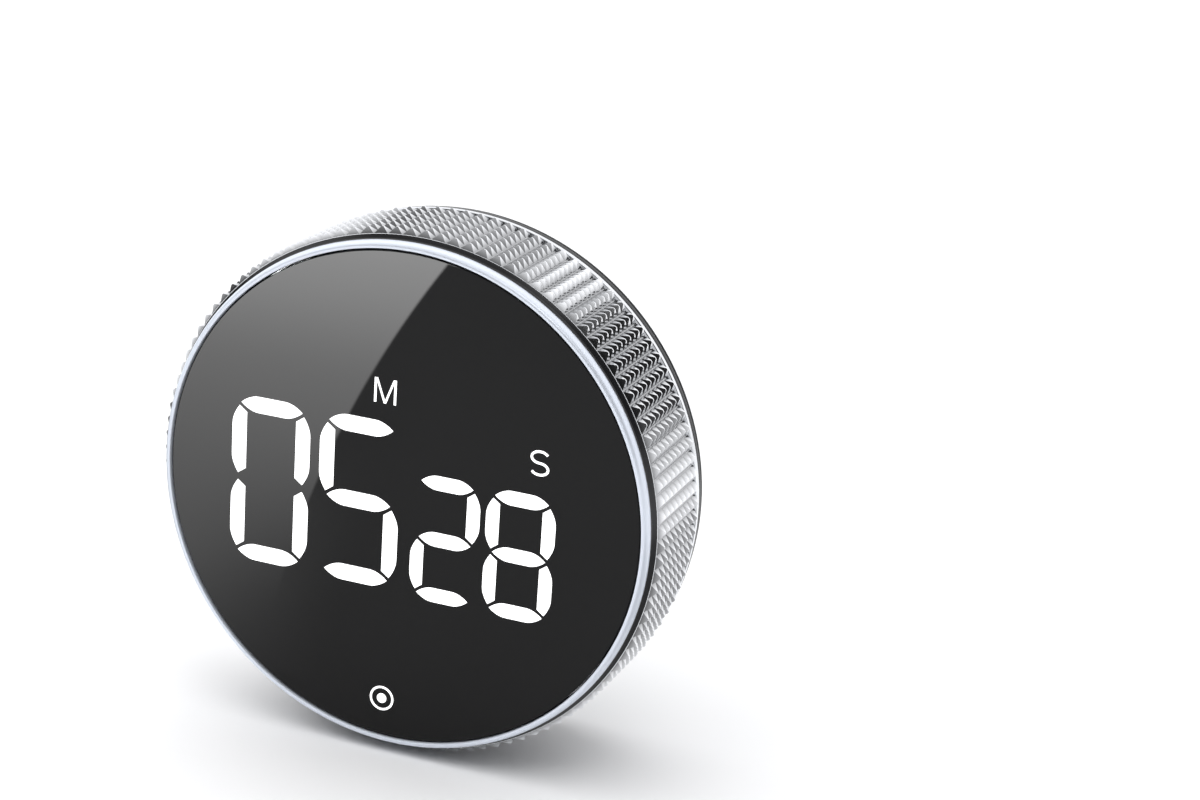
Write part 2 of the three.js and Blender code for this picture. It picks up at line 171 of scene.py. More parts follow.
knob_grey = finish("knob_plastic", (0.050, 0.052, 0.053), vary=0.06, rough=(0.4, 0.5), patch=150,
                   grain=(4200, 0.25, 0.00002), specular=0.4)
pale = finish("pale_plastic", (0.72, 0.70, 0.64), vary=0.05, rough=(0.35, 0.45), patch=80,
              grain=(3000, 0.2, 0.00002))
board_green = finish("solder_mask", (0.015, 0.13, 0.045), vary=0.2, rough=(0.25, 0.4), patch=140,
                     grain=(1500, 0.3, 0.00003))
# Near-black wrapper: partly the cells' own colour, partly painted shade, so the bay under the battery door
# reads dark
wrapper = finish("cell_wrapper", (0.012, 0.0125, 0.014), vary=0.08, rough=(0.2, 0.3), patch=50,
                 grain=(1800, 0.1, 0.00002))

# Rubber and print
pad_rubber = finish("pad_rubber", (0.078, 0.070, 0.076), vary=0.08, rough=(0.5, 0.62), patch=90,
                    grain=(5200, 0.5, 0.00003), specular=0.35)
teal_print = finish("teal_print", (0.055, 0.36, 0.33), vary=0.12, rough=(0.4, 0.55), patch=120,
                    grain=(3000, 0.2, 0.00001), specular=0.4)
mark_grey = finish("engraved_mark", (0.030, 0.031, 0.033), vary=0.1, rough=(0.5, 0.6), patch=150,
                   grain=(3000, 0.2, 0.00001), specular=0.3)
lit = glowing("lit_print", (1.0, 1.0, 1.0), 1.05)


def paint_valley_shade(material, root, tip, level):
    """Painted shade in a knurl's valleys: the colour falls off towards the root radius, given in metres."""
    tree = material.node_tree
    colour = tree.nodes["Principled BSDF"].inputs["Base Color"]
    unshaded = colour.links[0].from_socket
    coords = tree.nodes.new("ShaderNodeTexCoord")
    flat = tree.nodes.new("ShaderNodeVectorMath")
    flat.operation = "MULTIPLY"
    flat.inputs[1].default_value = (1, 0, 1)
    tree.links.new(coords.outputs["Object"], flat.inputs[0])
    radius = tree.nodes.new("ShaderNodeVectorMath")
    radius.operation = "LENGTH"
    tree.links.new(flat.outputs["Vector"], radius.inputs[0])
    reach = tree.nodes.new("ShaderNodeMapRange")
    for socket, value in zip(list(reach.inputs)[1:5], (root, tip, level, 1.0)):
        socket.default_value = value
    tree.links.new(radius.outputs["Value"], reach.inputs["Value"])
    mixed = tree.nodes.new("ShaderNodeVectorMath")
    mixed.operation = "SCALE"
    tree.links.new(unshaded, mixed.inputs[0])
    tree.links.new(reach.outputs["Result"], mixed.inputs["Scale"])
    tree.links.new(mixed.outputs["Vector"], colour)


SLOT_FINISH = {
    "polished_metal": chrome, "smoked_lens": lens_black, "black_plastic": matt_black,
    "grey_plastic": cover_grey, "magnet_pad": pad_rubber, "pale_plastic": pale,
    "circuit_board": board_green, "steel": steel, "cell_wrapper": wrapper,
}
for entry in frame["record"]["subparts"]:
    for material_slot in frame["nodes"][entry["node"]].material_slots:
        material_slot.material = SLOT_FINISH[entry["material_slot"]]


# ---------------------------------------------------------------- mesh helpers

# Edges sharper than this, in degrees, stay hard on a smooth piece
SHARP_ANGLE = 32
# Sides of a piece turned about the dial axis, and of a rectangle's round corner
TURN_STEPS, CORNER_STEPS = 220, 5
# A rounded corner takes up at most this share of the shorter edge beside it
CORNER_SHARE = 0.45
# An inset corner moves at most this many times as far as its edges
MITRE_LIMIT = 2.0


def piece(name, verts, faces, material, body, slot, flat=False, weighted=False):
    """One object from vertices in mm, in the row frame, riding on a CAD body."""
    mesh = bpy.data.meshes.new(name)
    mesh.from_pydata([tuple(c * MM for c in v) for v in verts], [], faces)
    work = bmesh.new()
    work.from_mesh(mesh)
    bmesh.ops.remove_doubles(work, verts=work.verts, dist=1e-7)
    bmesh.ops.recalc_face_normals(work, faces=work.faces)
    work.to_mesh(mesh)
    work.free()
    if not flat:
        mesh.shade_smooth()
        mesh.set_sharp_from_angle(angle=math.radians(SHARP_ANGLE))
    mesh.materials.append(material)
    obj = bpy.data.objects.new(name, mesh)
    bpy.context.scene.collection.objects.link(obj)
    if weighted:
        modifier = obj.modifiers.new("normals", "WEIGHTED_NORMAL")
        modifier.keep_sharp = True
    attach(obj, body)
    return obj


def turned(profile):
    """Vertices and faces of a closed section of [radius, station] pairs turned about the dial axis."""
    verts = []
    for i in range(TURN_STEPS):
        angle = TAU * i / TURN_STEPS
        verts += [(r * math.sin(angle), s - DEPTH, r * math.cos(angle)) for r, s in profile]
    size = len(profile)
    faces = []
    for i in range(TURN_STEPS):
        j = (i + 1) % TURN_STEPS
        for k in range(size):
            m = (k + 1) % size
            faces.append((i * size + k, j * size + k, j * size + m, i * size + m))
    return verts, faces


def rounded(profile, radius, steps=4):
    """A closed section with every corner rounded by up to the radius, or by its own third number."""
    out = []
    count = len(profile)
    for i, point in enumerate(profile):
        before, here, after = (Vector(p[:2]) for p in (profile[i - 1], point, profile[(i + 1) % count]))
        r = point[2] if len(point) > 2 else radius
        a, b = before - here, after - here
        reach = min(r, a.length * CORNER_SHARE, b.length * CORNER_SHARE)
        start, end = here + a.normalized() * reach, here + b.normalized() * reach
        for k in range(steps + 1):
            t = k / steps
            out.append(tuple(start * (1 - t) ** 2 + here * 2 * t * (1 - t) + end * t * t))
    return out


def offset(loop, amount):
    """A closed outline moved inward, to its left when it runs anticlockwise."""
    out = []
    count = len(loop)
    for i in range(count):
        a, b, c = (Vector(loop[(i + d) % count]) for d in (-1, 0, 1))
        n1 = Vector((-(b - a).y, (b - a).x)).normalized()
        n2 = Vector((-(c - b).y, (c - b).x)).normalized()
        mid = n1 + n2
        mid = mid.normalized() if mid.length > 1e-6 else n1
        scale = 1 / max(1 / MITRE_LIMIT, mid.dot(n1))
        out.append(tuple(b + mid * amount * scale))
    return out


def signed_area(loop):
    return sum(a[0] * b[1] - b[0] * a[1] for a, b in zip(loop, loop[1:] + loop[:1])) / 2


def plate(outer, holes, front, back, back_edge=0.0, front_edge=0.0, steps=3):
    """A flat plate between two stations, with rounded rims round its outline and its holes."""
    outer = outer if signed_area(outer) > 0 else outer[::-1]
    loops = [outer] + [h if signed_area(h) < 0 else h[::-1] for h in holes]
    levels = []
    for k in range(steps + 1):
        a = math.pi / 2 * k / steps
        if front_edge or k == steps:
            levels.append((front_edge * (1 - math.sin(a)), front + front_edge * (1 - math.cos(a))))
    for k in range(steps + 1):
        a = math.pi / 2 * k / steps
        levels.append((back_edge * (1 - math.cos(a)), back - back_edge * (1 - math.sin(a))))
    verts, faces = [], []
    starts = []
    for loop in loops:
        base = len(verts)
        starts.append((base, len(loop)))
        for inset, station in levels:
            verts += [(x, station - DEPTH, z) for x, z in offset(loop, inset)]
        size = len(loop)
        for level in range(len(levels) - 1):
            for i in range(size):
                j = (i + 1) % size
                lower, upper = base + level * size, base + (level + 1) * size
                faces.append((lower + i, lower + j, upper + j, upper + i))
    for level in (0, len(levels) - 1):
        index = [base + level * size + i for base, size in starts for i in range(size)]
        rings = [[Vector((verts[base + level * size + i][0], verts[base + level * size + i][2], 0))
                  for i in range(size)] for base, size in starts]
        faces += [tuple(index[i] for i in triangle) for triangle in tessellate_polygon(rings)]
    return verts, faces


def merge(*parts):
    verts, faces = [], []
    for part_verts, part_faces in parts:
        base = len(verts)
        verts += part_verts
        faces += [tuple(i + base for i in face) for face in part_faces]
    return verts, faces


def sheet(outer, front, back):
    """A plate with sharp rims and no holes."""
    return plate(outer, [], front, back, steps=1)


def circle(r, x=0.0, z=0.0, count=48, start=0.0, sweep=TAU):
    """A circle's outline, or an arc of it with both of its ends."""
    steps = count if abs(sweep) >= TAU - 1e-9 else count + 1
    return [(x + r * math.cos(start + sweep * i / count), z + r * math.sin(start + sweep * i / count))
            for i in range(steps)]


def rect(x0, x1, z0, z1, r):
    """A rectangle's outline with round corners."""
    corners = (
        (x1 - r, z0 + r, -TAU / 4), (x1 - r, z1 - r, 0), (x0 + r, z1 - r, TAU / 4), (x0 + r, z0 + r, TAU / 2),
    )
    loop = []
    for x, z, start in corners:
        loop += circle(r, x, z, CORNER_STEPS, start, TAU / 4)
    return loop


def grown(box, amount):
    """The sides x0, x1, z0, z1 of a rectangle, all moved out by an amount."""
    x0, x1, z0, z1 = box
    return x0 - amount, x1 + amount, z0 - amount, z1 + amount


def block(x0, x1, front, back, z0, z1, edge, corner):
    return plate(rect(x0, x1, z0, z1, corner), [], front, back, edge, edge * 0.5)


# ---------------------------------------------------------------- dial ring

KNURL_COLUMNS, KNURL_ROWS, KNURL_START, KNURL_PITCH = 110, 9, 2.4, 5 / 3
KNURL_END = KNURL_START + KNURL_ROWS * KNURL_PITCH
# Radii of the points' flats, of where the painted valley shade ends, and of the roots
TIP_R, SHADE_END_R, ROOT_R = 38.96, 38.85, 38.12
# Land round each point's foot and round its flat, as a share of the pitch
FOOT_INSET, FLAT_INSET = 0.035, 0.435
# The ring behind the knurl, its bore, and the wider seat behind the rim
RING_BACK, BORE_R, SEAT_R, SEAT_FRONT, SEAT_BACK = 18.4, 35.62, 36.62, 2.05, 4.35
# Front rim: a narrow flat front that rolls outward and back in a quarter of an ellipse
RIM_INNER, RIM_FRONT_R, RIM_OUTER = 36.5, 36.85, 37.5
RIM_FRONT, ROLL_BACK, RIM_BACK, ROLL_STEPS = 0.02, 1.45, 1.62, 10
# Black band between the rim and the knurl: painted shade, a dark ring that stands in for the shadow in the
# gap there
SHADE_BAND_INNER, SHADE_BAND_OUTER, SHADE_BAND_BACK = 36.66, 38.05, 2.38


def knurl():
    """Rows of four-sided points with a narrow flat on each and a fine land between them."""
    verts, faces = [], []
    step = TAU / KNURL_COLUMNS

    def corners(i, j, inset, r):
        grid = ((inset, inset), (1 - inset, inset), (1 - inset, 1 - inset), (inset, 1 - inset))
        return [(r * math.sin((i + u) * step), KNURL_START + (j + v) * KNURL_PITCH - DEPTH,
                 r * math.cos((i + u) * step)) for u, v in grid]

    for i in range(KNURL_COLUMNS):
        for j in range(KNURL_ROWS):
            base = len(verts)
            verts += corners(i, j, 0.0, ROOT_R)
            verts += corners(i, j, FOOT_INSET, ROOT_R)
            verts += corners(i, j, FLAT_INSET, TIP_R)
            for ring in (0, 4):
                for k in range(4):
                    m = (k + 1) % 4
                    faces.append((base + ring + k, base + ring + m, base + ring + 4 + m, base + ring + 4 + k))
            faces.append(tuple(base + 8 + k for k in range(4)))
    return verts, faces


def bezel_section():
    turns = [TAU / 4 * k / ROLL_STEPS for k in range(ROLL_STEPS + 1)]
    rolled = [(RIM_FRONT_R + (RIM_OUTER - RIM_FRONT_R) * math.sin(turn),
               RIM_FRONT + (ROLL_BACK - RIM_FRONT) * (1 - math.cos(turn))) for turn in turns]
    return [(RIM_INNER, 0.2), (RIM_INNER + 0.06, 0.06), (RIM_INNER + 0.18, RIM_FRONT), *rolled,
            (RIM_OUTER - 0.08, RIM_BACK), (RIM_INNER, RIM_BACK)]


ring_section = rounded([
    (ROOT_R, KNURL_END, 0.02), (38.5, KNURL_END + 0.05, 0.12), (38.62, KNURL_END + 0.4, 0.3),
    (38.6, RING_BACK - 0.25, 0.3), (38.3, RING_BACK, 0.15), (BORE_R, RING_BACK), (BORE_R, SEAT_BACK),
    (SEAT_R, SEAT_BACK), (SEAT_R, SEAT_FRONT, 0.02), (RIM_OUTER - 0.05, SEAT_FRONT),
    (RIM_OUTER, KNURL_START, 0.05), (ROOT_R, KNURL_START, 0.02),
], 0.1)
shade_band_section = rounded([
    (SHADE_BAND_INNER, 2.35, 0.02), (SHADE_BAND_INNER, 1.58, 0.02), (37.4, 1.58), (37.55, 1.95, 0.1), (SHADE_BAND_OUTER, 2.3),
    (SHADE_BAND_OUTER, SHADE_BAND_BACK, 0.02), (SHADE_BAND_INNER, SHADE_BAND_BACK, 0.02),
], 0.05)
# Painted shade: the knurl's colour darkens towards the roots between its points, standing in for the shade in
# its valleys
paint_valley_shade(knurl_chrome, ROOT_R * MM, SHADE_END_R * MM, 0.40)
piece("ring_knurl", *knurl(), knurl_chrome, "dial", "polished_metal", flat=True)
ring = piece("ring_body", *turned(ring_section), chrome, "dial", "polished_metal")
piece("ring_bezel", *turned(bezel_section()), bezel_chrome, "dial", "polished_metal")
# Painted shade: a gloss black ring fills the gap between the rim and the knurl
piece("ring_shade_band", *turned(shade_band_section), gloss_black, "dial", "polished_metal")
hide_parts("dial_ring")

# ---------------------------------------------------------------- lens and lit print

# A section that closes on the dial axis stops this close to it
AXIS_R = 0.001
LENS_R, LENS_FRONT, LENS_BACK = 36.28, 0.32, 1.48
PRINT_FRONT, PRINT_BACK = 0.29, 0.33
# Steps along the tapered end of a display segment
TAPER_STEPS = 6
LETTER_WEIGHT = 0.36
MARK_X, MARK_Z = -1.2, -30.6
MARK_RING, MARK_RING_HOLE, MARK_DOT = 1.88, 1.56, 0.75

lens = piece("lens_disc", *turned(rounded([
    (AXIS_R, LENS_FRONT, 0.0), (LENS_R, LENS_FRONT, 0.22), (LENS_R, LENS_BACK, 0.1), (AXIS_R, LENS_BACK, 0.0),
], 0.1, 5)), lens_black, "panel", "smoked_lens", weighted=True)
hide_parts("front_lens")


def taper(tip, thick, power):
    """Shares of a taper's length and the half widths there, from the tip to the full width."""
    shares = [k / TAPER_STEPS for k in range(TAPER_STEPS + 1)]
    return [(t, tip + (thick / 2 - tip) * math.sin(t * math.pi / 2) ** power) for t in shares]


def leaf(x0, x1, z, thick):
    """Horizontal display segment: pointed ends and rounded shoulders."""
    shoulder = thick * 1.15
    left = [(x0 + shoulder * t, h) for t, h in taper(0.0, thick, 0.85)]
    right = [(x1 - shoulder * t, h) for t, h in taper(0.0, thick, 0.85)]
    top = left + right[::-1]
    lower = [(x, -d) for x, d in reversed(top[1:-1])]
    return [(x, z + d) for x, d in top + lower]


def blade(x, z0, z1, thick, side):
    """Upright display segment: straight inside edge, rounded outside shoulders, pointed ends."""
    nose = thick * 0.38
    shoulder = thick * 1.25
    tip = thick / 2 * 0.05
    inner = [(-thick / 2, z0 + nose), (-thick / 2, z1 - nose)]
    upper = [(h, z1 - shoulder * t) for t, h in taper(tip, thick, 0.9)]
    lower = [(h, z0 + shoulder * t) for t, h in taper(tip, thick, 0.9)]
    return [(x + d * side, z) for d, z in inner + upper + lower[::-1]]


def digit(cx, cz, width, height, thick, segments):
    """Outlines of a display digit's segments, lettered as usual from a at the top to g in the middle."""
    upright = thick * 0.94
    half = width / 2 - thick * 0.48
    tip = half - 0.2
    top = cz + height / 2 - thick / 2
    low = cz - height / 2 + thick / 2
    gap = thick * 0.21
    outlines = {
        "a": leaf(cx - tip, cx + tip, top, thick),
        "g": leaf(cx - tip, cx + tip, cz, thick),
        "d": leaf(cx - tip, cx + tip, low, thick),
        "f": blade(cx - half, cz + gap, top - gap, upright, -1),
        "b": blade(cx + half, cz + gap, top - gap, upright, 1),
        "e": blade(cx - half, low + gap, cz - gap, upright, -1),
        "c": blade(cx + half, low + gap, cz - gap, upright, 1),
    }
    return [outlines[segment] for segment in segments]


def stroke(points, width):
    """An outline round an open line of points."""
    left, right = [], []
    for i, point in enumerate(points):
        a = Vector(points[max(0, i - 1)])
        b = Vector(points[min(len(points) - 1, i + 1)])
        n = Vector((-(b - a).y, (b - a).x)).normalized() * width / 2
        left.append(tuple(Vector(point) + n))
        right.append(tuple(Vector(point) - n))
    return left + right[::-1]


def lit_plate(outline, holes=()):
    return plate(outline, list(holes), PRINT_FRONT, PRINT_BACK, steps=1)


def letter_s(cx, cz, height, width):
    """Two arcs, the lower one the upper one turned half round. Angles are in degrees."""
    mouth, middle, steps = 28, 270, 14
    r = (height - LETTER_WEIGHT) / 4
    wide = (width - LETTER_WEIGHT) / 2
    angles = [math.radians(mouth + (middle - mouth) * k / steps) for k in range(steps + 1)]
    upper = [(wide * math.cos(a), r + r * math.sin(a)) for a in angles]
    lower = [(-x, -z) for x, z in upper[-2::-1]]
    return stroke([(cx + x, cz + z) for x, z in upper + lower], LETTER_WEIGHT)


def letter_m(cx, cz, height, width):
    h, w, t = height / 2, width / 2, LETTER_WEIGHT
    return [(cx + x, cz + z) for x, z in (
        (-w, -h), (-w, h), (-w + t * 1.35, h), (0, -h + t * 1.1), (w - t * 1.35, h), (w, h), (w, -h),
        (w - t, -h), (w - t, h - t * 1.3), (t * 0.5, -h), (-t * 0.5, -h), (-w + t, h - t * 1.3), (-w + t, -h),
    )]


def lit_piece(name, *plates):
    piece(name, *merge(*plates), lit, "panel", "smoked_lens", flat=True)


for label, cx, cz, width, height, thick, segments in (
    ("minute_tens", -20.3, -1.05, 12.5, 25.0, 2.45, "abcdef"),
    ("minute_ones", -6.2, -1.05, 12.7, 25.0, 2.45, "afgcd"),
    ("second_tens", 7.4, -4.5, 10.4, 19.0, 2.15, "abged"),
    ("second_ones", 18.7, -4.5, 10.5, 19.0, 2.15, "abcdefg"),
):
    outlines = digit(cx, cz, width, height, thick, segments)
    lit_piece(f"digit_{label}", *(lit_plate(outline) for outline in outlines))
lit_piece("letter_minutes", lit_plate(letter_m(-2.7, 15.9, height=3.6, width=3.4)))
lit_piece("letter_seconds", lit_plate(letter_s(21.0, 9.8, height=3.75, width=2.9)))
lit_piece("button_mark",
          lit_plate(circle(MARK_RING, MARK_X, MARK_Z, 40), [circle(MARK_RING_HOLE, MARK_X, MARK_Z, 40)]),
          lit_plate(circle(MARK_DOT, MARK_X, MARK_Z, 28)))

# ---------------------------------------------------------------- rear cover

# Stations: front and back of the face plate, inner side of the recesses' floors, start of the rim and skirt
FACE_FRONT, FACE_TOP, RECESS_FRONT, RIM_START, SKIRT_START = 23.12, DEPTH - 0.03, 23.2, 18.76, 14.0
FACE_R, SKIRT_R, SKIRT_BORE = 35.5, 35.2, 34.0
# Sides x0, x1, z0, z1 of the battery door, the knob's window and the battery bay
DOOR, WINDOW, BAY = (-25.1, 24.1, -18.9, 15.4), (24.95, 32.0, -4.95, 4.35), (-25.6, 24.6, -19.3, 15.9)
# Gap round the door, the window's corner radius, the width of the window's painted shade frame, and the bay's
# wall
DOOR_GAP, WINDOW_CORNER, SHADE_FRAME, WALL = 0.2, 0.35, 0.25, 1.0
BAY_FRONT, BAY_FLOOR, BAY_BACK = 10.9, 11.9, 22.84
DOOR_FRONT, RELIEF = 22.9, (-18, 18, 12.75, 14.05)
# The door's two tabs: the middle of each, their half width, and where they lie
TAB_X, TAB_HALF, TAB_FRONT, TAB_Z = (-15, 14), 2.5, 22.05, (-19.9, -17.2)
# Finger notch: a circle's upper part, whose floor runs out towards +X
NOTCH_X, NOTCH_Z, NOTCH_R, NOTCH_FOOT, NOTCH_FLOOR, NOTCH_SLOPE = -0.5, 14.5, 6.8, 1.25, 23.95, 0.088
SLOT_X0, SLOT_X1, SLOT_Z, SLOT_HALF = 13.65, 18.35, (18.5, 20.4), 0.45
POST_X, POST_Z, POST_R, POST_BORE, POST_FRONT = 10.5, 27.4, 2.7, 1.1, 14.15
PAD_R, PAD_CHORD, PAD_CORNER, PAD_GAP, PAD_FLOOR = 35.0, 23.0, 1.2, 0.12, 23.7
GROOVE_BORE, GROOVE_FRONT, GROOVE_BACK = 36.2, 18.72, 20.3


def pad_outline(side, grow=0.0):
    """A circle's segment with round corners. The side is 1 for the upper pad and -1 for the lower one."""
    r, chord = PAD_R + grow, PAD_CHORD - grow
    reach = math.sqrt((r - PAD_CORNER) ** 2 - (chord + PAD_CORNER) ** 2)
    turn_in = math.atan2(chord + PAD_CORNER, reach)
    loop = circle(PAD_CORNER, reach, chord + PAD_CORNER, 8, -TAU / 4, turn_in + TAU / 4)
    loop += circle(r, 0, 0, 72, turn_in, math.pi - 2 * turn_in)[1:-1]
    loop += circle(PAD_CORNER, -reach, chord + PAD_CORNER, 8, math.pi - turn_in, TAU / 4 + turn_in)
    return [(x * side, z * side) for x, z in loop]


def notch_floor():
    verts, faces = sheet(circle(NOTCH_R + 0.4, NOTCH_X, NOTCH_Z, 40, 0.05, math.pi - 0.1), RECESS_FRONT,
                         NOTCH_FLOOR)
    middle = (RECESS_FRONT + NOTCH_FLOOR) / 2 - DEPTH
    return [(x, y + (NOTCH_SLOPE * (x - NOTCH_X) if y > middle else 0), z) for x, y, z in verts], faces


def cover_face():
    foot = math.asin(NOTCH_FOOT / NOTCH_R)
    openings = [
        rect(*grown(DOOR, DOOR_GAP), 0.6),
        circle(NOTCH_R, NOTCH_X, NOTCH_Z, 40, foot, math.pi - 2 * foot),
        rect(*WINDOW, WINDOW_CORNER),
        *(rect(SLOT_X0, SLOT_X1, z - SLOT_HALF, z + SLOT_HALF, 0.25) for z in SLOT_Z),
        *(pad_outline(side, PAD_GAP) for side in (1, -1)),
    ]
    return plate(circle(FACE_R, count=192), openings, FACE_FRONT, FACE_TOP, 0.14)


def battery_bay():
    floor = plate(rect(*BAY, 0.5), [], BAY_FRONT, BAY_FLOOR, 0.1, 0.1)
    walls = plate(rect(*BAY, 0.5), [rect(*grown(BAY, -WALL), 0.3)], BAY_FLOOR - 0.05, BAY_BACK, 0.1)
    return floor, walls


cover_rim = turned(rounded([
    (SKIRT_BORE, SKIRT_START, 0.2), (SKIRT_R, SKIRT_START, 0.2), (SKIRT_R, RIM_START),
    (38.3, RIM_START, 0.15), (38.38, 19.5, 0.2), (37.5, 19.75), (37.45, 20.2), (38.2, 20.45, 0.25),
    (38.1, 20.8, 0.3), (36.25, 23.9, 0.5), (35.85, 24.35, 0.4), (35.4, 24.52, 0.2),
    (SKIRT_R, RECESS_FRONT, 0.05), (SKIRT_BORE, RECESS_FRONT),
], 0.1))
pad_floors = [sheet(pad_outline(side, 0.3), RECESS_FRONT, PAD_FLOOR) for side in (1, -1)]
posts = [plate(circle(POST_R, x, z, 32), [circle(POST_BORE, x, z, 24)], POST_FRONT, RECESS_FRONT, 0.1, 0.1)
         for z in (POST_Z, -POST_Z) for x in (-POST_X, POST_X)]
cover = piece("cover_shell", *merge(
    cover_rim, cover_face(), notch_floor(), *pad_floors, *battery_bay(), *posts,
), cover_grey, "housing", "grey_plastic", weighted=True)
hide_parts("rear_cover")
piece("cover_groove", *turned(rounded([
    (GROOVE_BORE, GROOVE_FRONT), (38.36, GROOVE_FRONT, 0.12), (38.43, 19.52, 0.15), (37.52, 19.8, 0.05),
    (37.48, GROOVE_BACK, 0.05), (GROOVE_BORE, GROOVE_BACK),
], 0.02)), gloss_black, "housing", "black_plastic")
# Painted shade: a matt black frame just inside the knob's window stands in for the shadow in the recess round
# the knob
piece("window_shade_frame", *plate(
    rect(*WINDOW, WINDOW_CORNER), [rect(*grown(WINDOW, -SHADE_FRAME), 0.25)], DOOR_FRONT, FACE_TOP - 0.03, 0.03,
), matt_black, "housing", "black_plastic", weighted=True)

door = piece("door_panel", *merge(
    plate(rect(*DOOR, 0.5), [rect(*RELIEF, 0.62)], DOOR_FRONT, FACE_TOP - 0.02, 0.12, 0.1),
    *(block(x - TAB_HALF, x + TAB_HALF, TAB_FRONT, DOOR_FRONT + 0.05, *TAB_Z, 0.1, 0.2) for x in TAB_X),
), door_grey, "door", "grey_plastic", weighted=True)
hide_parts("battery_door")

# ---------------------------------------------------------------- cells

CELL_R, CELL_LENGTH, CELL_STATION = 5.2, 44.5, 17.2
# Sides of a turned cell, and how close its section comes to its axis
CELL_STEPS, CELL_AXIS_R = 72, 0.01
SLEEVE_R, SLEEVE_BORE, CAN_R = CELL_R - 0.01, CELL_R - 0.12, CELL_R - 0.1
FOOT_R, SHOULDER_R, CONTACT_R = CELL_R - 0.35, CELL_R - 0.6, 1.8
# Distances along a cell from its middle, towards the raised contact
CELL_FOOT, CONTACT_END = -CELL_LENGTH / 2, CELL_LENGTH / 2
CAN_END, SLEEVE_END, SHOULDER_END = CONTACT_END - 1.15, CONTACT_END - 1.1, CONTACT_END - 0.95


def turned_along_x(profile, side, centre, z):
    """A closed section of [radius, distance towards the raised contact] pairs turned about a cell's axis."""
    verts, faces = [], []
    size = len(profile)
    for i in range(CELL_STEPS):
        angle = TAU * i / CELL_STEPS
        verts += [(centre + side * a, CELL_STATION - DEPTH + r * math.cos(angle), z + r * math.sin(angle))
                  for r, a in profile]
        j = (i + 1) % CELL_STEPS
        faces += [(i * size + k, j * size + k, j * size + (k + 1) % size, i * size + (k + 1) % size)
                  for k in range(size)]
    return verts, faces


sleeve = rounded([
    (SLEEVE_BORE, CELL_FOOT + 0.2), (SLEEVE_R, CELL_FOOT + 0.2), (SLEEVE_R, SLEEVE_END),
    (SLEEVE_BORE, SLEEVE_END),
], 0.05, 3)
can = rounded([
    (CELL_AXIS_R, CELL_FOOT), (FOOT_R, CELL_FOOT, 0.4), (FOOT_R, CELL_FOOT + 0.3), (CAN_R, CELL_FOOT + 0.3),
    (CAN_R, CAN_END, 0.3), (SHOULDER_R, CAN_END, 0.1), (SHOULDER_R, SHOULDER_END, 0.1),
    (CONTACT_R + 0.05, SHOULDER_END, 0.1), (CONTACT_R, CONTACT_END, 0.3), (CELL_AXIS_R, CONTACT_END),
], 0.05, 3)
# The middle cell lies the other way round
for number, side in ((1, 1), (2, -1), (3, 1)):
    low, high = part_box(f"battery_{number}")
    lie = (side, (low[0] + high[0]) / 2 / MM, (low[2] + high[2]) / 2 / MM)
    shell = piece(f"cell_sleeve_{number}", *turned_along_x(sleeve, *lie), wrapper, "housing",
                  "cell_wrapper", weighted=True)
    piece(f"cell_can_{number}", *turned_along_x(can, *lie), steel, "housing", "steel", weighted=True)
    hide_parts(f"battery_{number}")

# ---------------------------------------------------------------- magnet pads with their printed grid

PAD_FRONT, PAD_TOP, PRINT_TOP = 23.75, DEPTH - 0.04, DEPTH - 0.005
LINE_FRONT, LINE_WIDTH = PAD_TOP - 0.05, 0.38
BORDER_INSET, BORDER_WIDTH = 0.35, 0.42
# The grid's lines end on this circle and this chord
GRID_R, GRID_CHORD = 34.4, 23.6
# Height of each bowed line's middle, and how far it reaches to either side
BOWS = ((26.3, 15.2), (30.0, 21.5))
BOW_STEPS = 24
COLUMN_LEAN = 0.03


def ribbon(points):
    """A thin raised line of print along a run of points on the pad."""
    return sheet(stroke(points, LINE_WIDTH), LINE_FRONT, PRINT_TOP)


def pad_grid(side, columns):
    inner = pad_outline(1, -BORDER_INSET)
    parts = [plate(inner, [offset(inner, BORDER_WIDTH)], LINE_FRONT, PRINT_TOP, steps=1)]
    for x in columns:
        top = math.sqrt(GRID_R ** 2 - x ** 2)
        lean = x * COLUMN_LEAN
        parts.append(ribbon([(x - lean, GRID_CHORD), (x, (GRID_CHORD + top) / 2), (x + lean, top)]))
    for middle, half in BOWS:
        shares = [2 * k / BOW_STEPS - 1 for k in range(BOW_STEPS + 1)]
        parts.append(ribbon([(half * t, middle - (middle - GRID_CHORD) * t * t) for t in shares]))
    verts, faces = merge(*parts)
    return [(x * side, y, z * side) for x, y, z in verts], faces


for place, side, columns in (
    ("top", 1, (-20.0, -13.2, -5.8, 3.4, 13.0)), ("bottom", -1, (-17.4, -8.8, 0.2, 8.8, 17.4)),
):
    pad = piece(f"pad_{place}", *plate(pad_outline(side), [], PAD_FRONT, PAD_TOP, 0.15, 0.05), pad_rubber,
                "housing", "magnet_pad", weighted=True)
    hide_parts(f"magnet_pad_{place}")
    piece(f"pad_grid_{place}", *pad_grid(side, columns), teal_print, "housing", "magnet_pad", flat=True)

# ---------------------------------------------------------------- volume switch

KNOB_X, KNOB_Z = 28.4, -2.5
# Half widths of the sliding cover, the thumb piece and the stem that reaches the switch
SLIDE_HALF, THUMB_HALF, STEM_HALF = 2.5, 2.65, 1.0
SLIDE_BELOW, SLIDE_ABOVE, THUMB_HALF_Z = 6.7, 5.9, 1.3
MARK_FRONT, MARK_TOP, WAVE_WIDTH = DEPTH - 0.08, DEPTH - 0.01, 0.16


def knob_part(half, front, back, below, above, edge, corner):
    return block(KNOB_X - half, KNOB_X + half, front, back, KNOB_Z - below, KNOB_Z + above, edge, corner)


